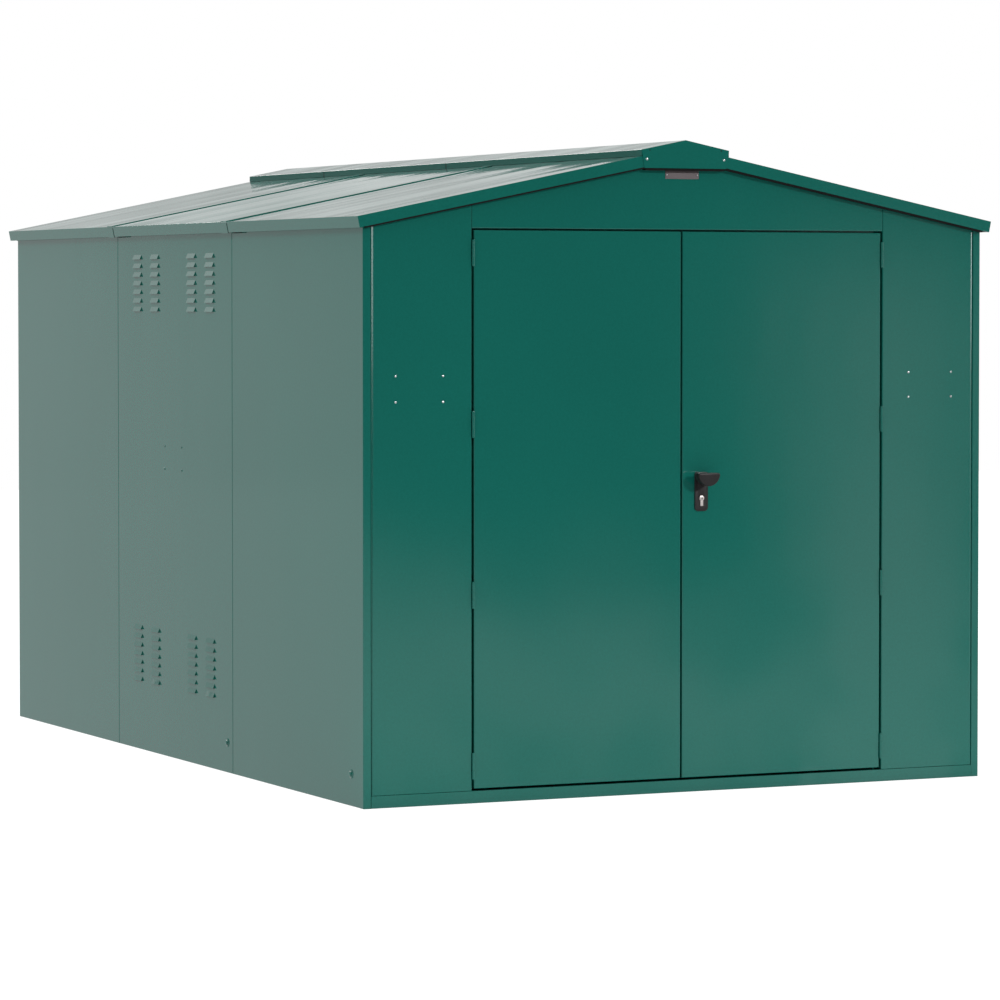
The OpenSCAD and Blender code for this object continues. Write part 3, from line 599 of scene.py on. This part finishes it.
glow = add(tree, "ShaderNodeMix", {0: in_front, 2: 0.82, 3: front_glow(tree, across, up)}).outputs[0]
mirrored = add(tree, "ShaderNodeEmission", {"Color": linear("#FFFFFF"), "Strength": glow}).outputs[0]
faint = add(tree, "ShaderNodeBsdfDiffuse", {"Color": linear("#8C8C8C")}).outputs[0]
white = add(tree, "ShaderNodeEmission", {"Color": linear("#FFFFFF"), "Strength": 0.9}).outputs[0]
white = add(tree, "ShaderNodeAddShader", {0: faint, 1: white}).outputs[0]
matt = add(tree, "ShaderNodeBsdfDiffuse", {"Color": linear("#AAAAAA")}).outputs[0]
ahead = add(tree, "ShaderNodeMapRange", {0: at[1], 1: -5.2, 2: -1.8, 3: 0.0, 4: 0.95},
            interpolation_type="SMOOTHSTEP").outputs[0]
pool = add(tree, "ShaderNodeMath", {0: ahead, 1: in_front}, operation="MULTIPLY").outputs[0]
beside = add(tree, "ShaderNodeMath", {0: at[0]}, operation="ABSOLUTE").outputs[0]
beside = add(tree, "ShaderNodeMapRange", {0: beside, 1: 5.0, 2: 3.5, 3: 0.0, 4: 0.28},
             interpolation_type="SMOOTHSTEP").outputs[0]
pool = add(tree, "ShaderNodeMath", {0: pool, 1: beside}, operation="MAXIMUM").outputs[0]
pool = add(tree, "ShaderNodeEmission", {"Color": linear("#FFFFFF"), "Strength": pool}).outputs[0]
matt = add(tree, "ShaderNodeAddShader", {0: matt, 1: pool}).outputs[0]
seen = add(tree, "ShaderNodeMath", {0: path["Is Camera Ray"], 1: path["Is Transmission Ray"]},
           operation="MAXIMUM").outputs[0]
both = add(tree, "ShaderNodeMixShader", {0: path["Is Glossy Ray"], 1: matt, 2: mirrored}).outputs[0]
both = add(tree, "ShaderNodeMixShader", {0: seen, 1: both, 2: white}).outputs[0]
add(tree, "ShaderNodeOutputMaterial", {0: both})
ground_mesh.materials.append(floor_paint)

# The surround: white, a little dimmer along the skyline, and unlit in front.
world = bpy.data.worlds.new("white_studio")
world.use_nodes = True
bpy.context.scene.world = world
tree = world.node_tree
tree.nodes.clear()
path = add(tree, "ShaderNodeLightPath").outputs
way = add(tree, "ShaderNodeTexCoord").outputs["Generated"]
parts = add(tree, "ShaderNodeSeparateXYZ", {0: way}).outputs
forward = add(tree, "ShaderNodeMath", {0: parts[1], 1: -1.0}, operation="MULTIPLY").outputs[0]
turn = add(tree, "ShaderNodeMath", {0: parts[0], 1: forward}, operation="ARCTAN2").outputs[0]
ahead = add(tree, "ShaderNodeMath", {0: forward, 1: 0.05}, operation="MAXIMUM").outputs[0]
across = add(tree, "ShaderNodeMath", {0: parts[0], 1: ahead}, operation="DIVIDE").outputs[0]
up = add(tree, "ShaderNodeMath", {0: parts[2], 1: ahead}, operation="DIVIDE").outputs[0]
from_left = add(tree, "ShaderNodeMapRange", {0: turn, 1: math.radians(-80), 2: math.radians(-55),
                                             3: 0.0, 4: 1.0}, interpolation_type="SMOOTHSTEP").outputs[0]
to_right = add(tree, "ShaderNodeMapRange", {0: turn, 1: math.radians(45), 2: math.radians(65),
                                            3: 1.0, 4: 0.0}, interpolation_type="SMOOTHSTEP").outputs[0]
front = add(tree, "ShaderNodeMath", {0: from_left, 1: to_right}, operation="MULTIPLY").outputs[0]
skyline = add(tree, "ShaderNodeValToRGB", {0: parts[2]}).outputs[0]
ramp = skyline.node.color_ramp
for place, grey in ((0.0, 0.80), (0.019, 0.78), (0.028, 0.15), (0.042, 0.15), (0.06, 0.45),
                    (0.12, 0.56), (0.15, 0.75), (0.18, 0.86), (0.22, 0.64), (0.27, 1.2), (0.34, 1.4),
                    (0.42, 1.0)):
    stop = ramp.elements.new(place)
    stop.color = (grey, grey, grey, 1.0)
ramp.elements.remove(ramp.elements[0])
ramp.elements[-1].position = 0.60
ramp.elements[-1].color = (0.9, 0.9, 0.9, 1.0)
bands = add(tree, "ShaderNodeMapping", {"Vector": way, "Scale": (45.0, 45.0, 5.0)}).outputs[0]
bands = add(tree, "ShaderNodeTexNoise", {"Vector": bands, "Scale": 1.0, "Detail": 1.0}).outputs["Fac"]
bands = add(tree, "ShaderNodeMapRange", {0: bands, 1: 0.25, 2: 0.75, 3: 0.86, 4: 1.1}).outputs[0]
around = add(tree, "ShaderNodeMath", {0: skyline, 1: bands}, operation="MULTIPLY").outputs[0]
mirrored = add(tree, "ShaderNodeMix", {0: front, 2: around, 3: front_glow(tree, across, up)}).outputs[0]
for side in (-23.2, 77.7):
    towards = Vector((math.sin(math.radians(side)), -math.cos(math.radians(side)), 0.036)).normalized()
    window = add(tree, "ShaderNodeVectorMath", {0: way, 1: towards}, operation="DOT_PRODUCT").outputs["Value"]
    window = add(tree, "ShaderNodeMapRange", {0: window, 1: 0.9986, 2: 0.9992, 3: 0.0, 4: 6.0},
                 interpolation_type="SMOOTHSTEP").outputs[0]
    mirrored = add(tree, "ShaderNodeMath", {0: mirrored, 1: window}, operation="ADD").outputs[0]
# What lights the matt surfaces: stronger from the sides and overhead than from the front.
overhead = add(tree, "ShaderNodeMath", {0: parts[2], 1: 0.0}, operation="MAXIMUM").outputs[0]
sideways = add(tree, "ShaderNodeMath", {0: parts[0]}, operation="ABSOLUTE").outputs[0]
facing = add(tree, "ShaderNodeMath", {0: forward, 1: 0.0}, operation="MAXIMUM").outputs[0]
lit = add(tree, "ShaderNodeMath", {0: overhead, 1: 0.4, 2: 0.35}, operation="MULTIPLY_ADD").outputs[0]
lit = add(tree, "ShaderNodeMath", {0: sideways, 1: 0.35, 2: lit}, operation="MULTIPLY_ADD").outputs[0]
lit = add(tree, "ShaderNodeMath", {0: facing, 1: -0.4, 2: lit}, operation="MULTIPLY_ADD").outputs[0]
level = add(tree, "ShaderNodeMix", {0: path["Is Glossy Ray"], 2: lit, 3: mirrored}).outputs[0]
seen = add(tree, "ShaderNodeMath", {0: path["Is Camera Ray"], 1: path["Is Transmission Ray"]},
           operation="MAXIMUM").outputs[0]
level = add(tree, "ShaderNodeMix", {0: seen, 2: level, 3: 1.0}).outputs[0]
sky = add(tree, "ShaderNodeBackground", {"Color": linear("#FFFFFF"), "Strength": level}).outputs[0]
add(tree, "ShaderNodeOutputWorld", {0: sky})

for name, energy, angle, towards in (("soft_key", 1.5, 7, (0.45, -1.0, 0.35)),
                                     ("left_fill", 0.82, 20, (-1.0, 0.0, 0.84)),
                                     ("right_fill", 0.82, 20, (1.0, 0.0, 0.84)),
                                     ("rear_fill", 1.0, 20, (0.0, 1.0, 0.6))):
    lamp = bpy.data.lights.new(name, "SUN")
    lamp.energy = energy
    lamp.angle = math.radians(angle)
    light = bpy.data.objects.new(name, lamp)
    bpy.context.scene.collection.objects.link(light)
    light.rotation_euler = Vector(towards).to_track_quat("Z", "Y").to_euler()


# ----------------------------------------------------------------- the camera
# It stands about 15 m off at the front left, at eye level, with a long lens that
# keeps the building's upright edges nearly upright.

camera_data = bpy.data.cameras.new("camera")
camera_data.sensor_width = 36
camera_data.lens = 155.51
camera_data.shift_y = -0.05
camera_data.clip_end = 200
camera = bpy.data.objects.new("camera", camera_data)
camera.location = (-6.3215, -13.8206, 1.5694)
camera.rotation_euler = (math.radians(90 - 2.0010), 0, math.radians(-25.0227))
bpy.context.scene.collection.objects.link(camera)
bpy.context.scene.camera = camera
bpy.context.scene.view_settings.view_transform = "Standard"
